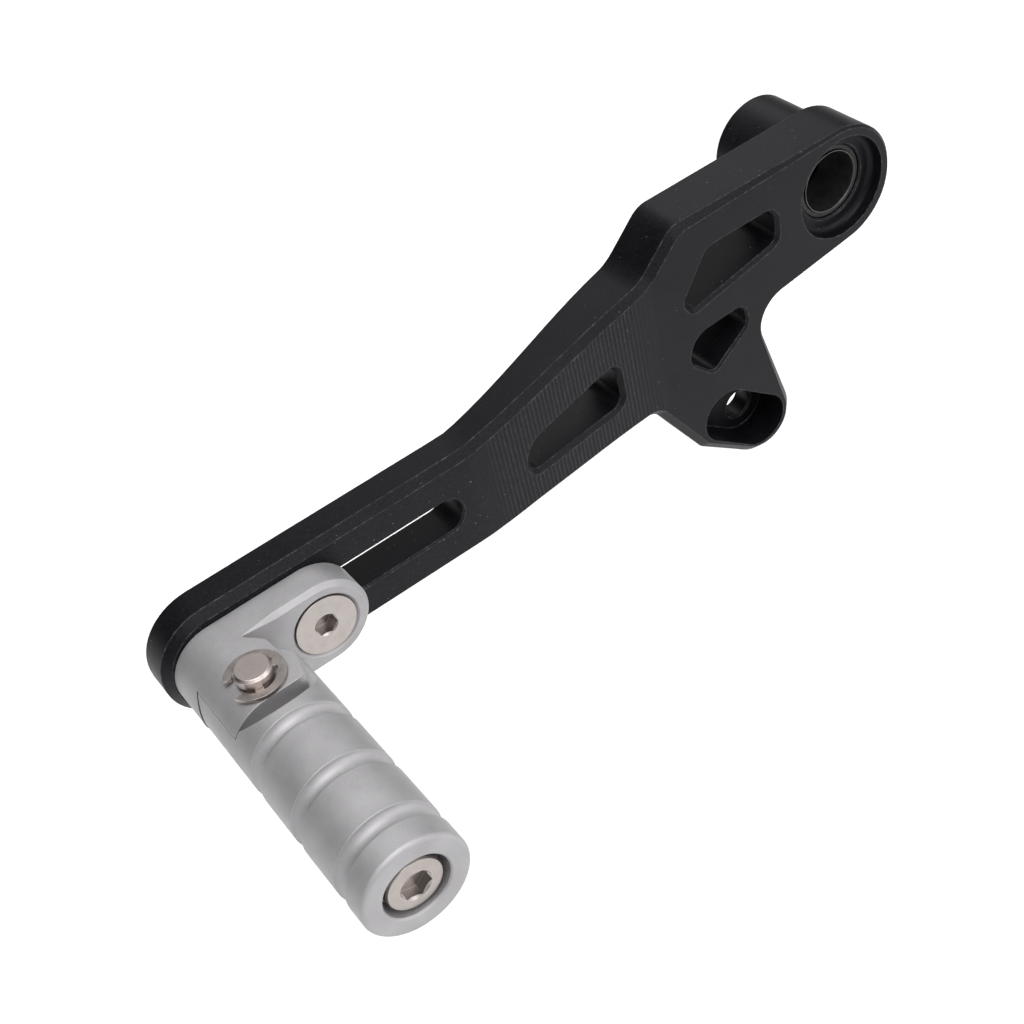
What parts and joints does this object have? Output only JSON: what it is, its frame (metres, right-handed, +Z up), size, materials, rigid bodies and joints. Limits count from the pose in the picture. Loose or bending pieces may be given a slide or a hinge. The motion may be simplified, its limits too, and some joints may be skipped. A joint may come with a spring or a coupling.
{
  "type": "motorcycle gear shift lever",
  "caption": "Adjustable gear shift lever: cranked arm with bushed pivot tube and linkage ear, and a spring-loaded folding toe peg on a bracket that slides in a slot.",
  "frame": {"origin": "on the pivot axis, at the outer face of the pivot plate", "axes": "+X forward from the pivot to the toe peg, +Y outwards along the toe peg, +Z up"},
  "size_m": [0.1813, 0.0982, 0.0676],
  "materials": {
    "black_aluminium": "black anodised, bead blasted",
    "silver_aluminium": "clear anodised, bead blasted",
    "stainless": "turned stainless steel",
    "zinc_steel": "zinc plated",
    "spring_steel": "spring steel",
    "bush_liner": "sintered bronze with a dark plastic lining",
    "seal_rubber": "matt black"
  },
  "bodies": {
    "arm": {"lever_arm": "black_aluminium", "pivot_bush_outer": "bush_liner", "pivot_bush_inner": "bush_liner", "pivot_seal_outer": "seal_rubber", "pivot_seal_inner": "seal_rubber"},
    "bracket": {"peg_bracket": "silver_aluminium", "clamp_screw": "stainless", "slot_nut": "zinc_steel", "hinge_pin": "stainless", "hinge_clip": "spring_steel", "hinge_spring": "spring_steel"},
    "peg": {"peg_knuckle": "silver_aluminium", "peg_sleeve": "silver_aluminium", "sleeve_screw": "stainless", "sleeve_washer": "stainless", "hinge_bushes": "bush_liner"}
  },
  "joints": [
    {"name": "reach_slide", "type": "slide", "parent": "arm", "child": "bracket", "axis": [-1, 0, 0], "range_m": [0, 0.027]},
    {"name": "peg_fold", "type": "hinge", "parent": "bracket", "child": "peg", "pos_m": [0.156, 0.0232, -0.0135], "axis": [0, 0, 1], "range_deg": [0, 90], "stiffness_Nm_per_rad": 0.16, "springref_deg": -45.84, "deforming": ["hinge_spring"]}
  ]
}
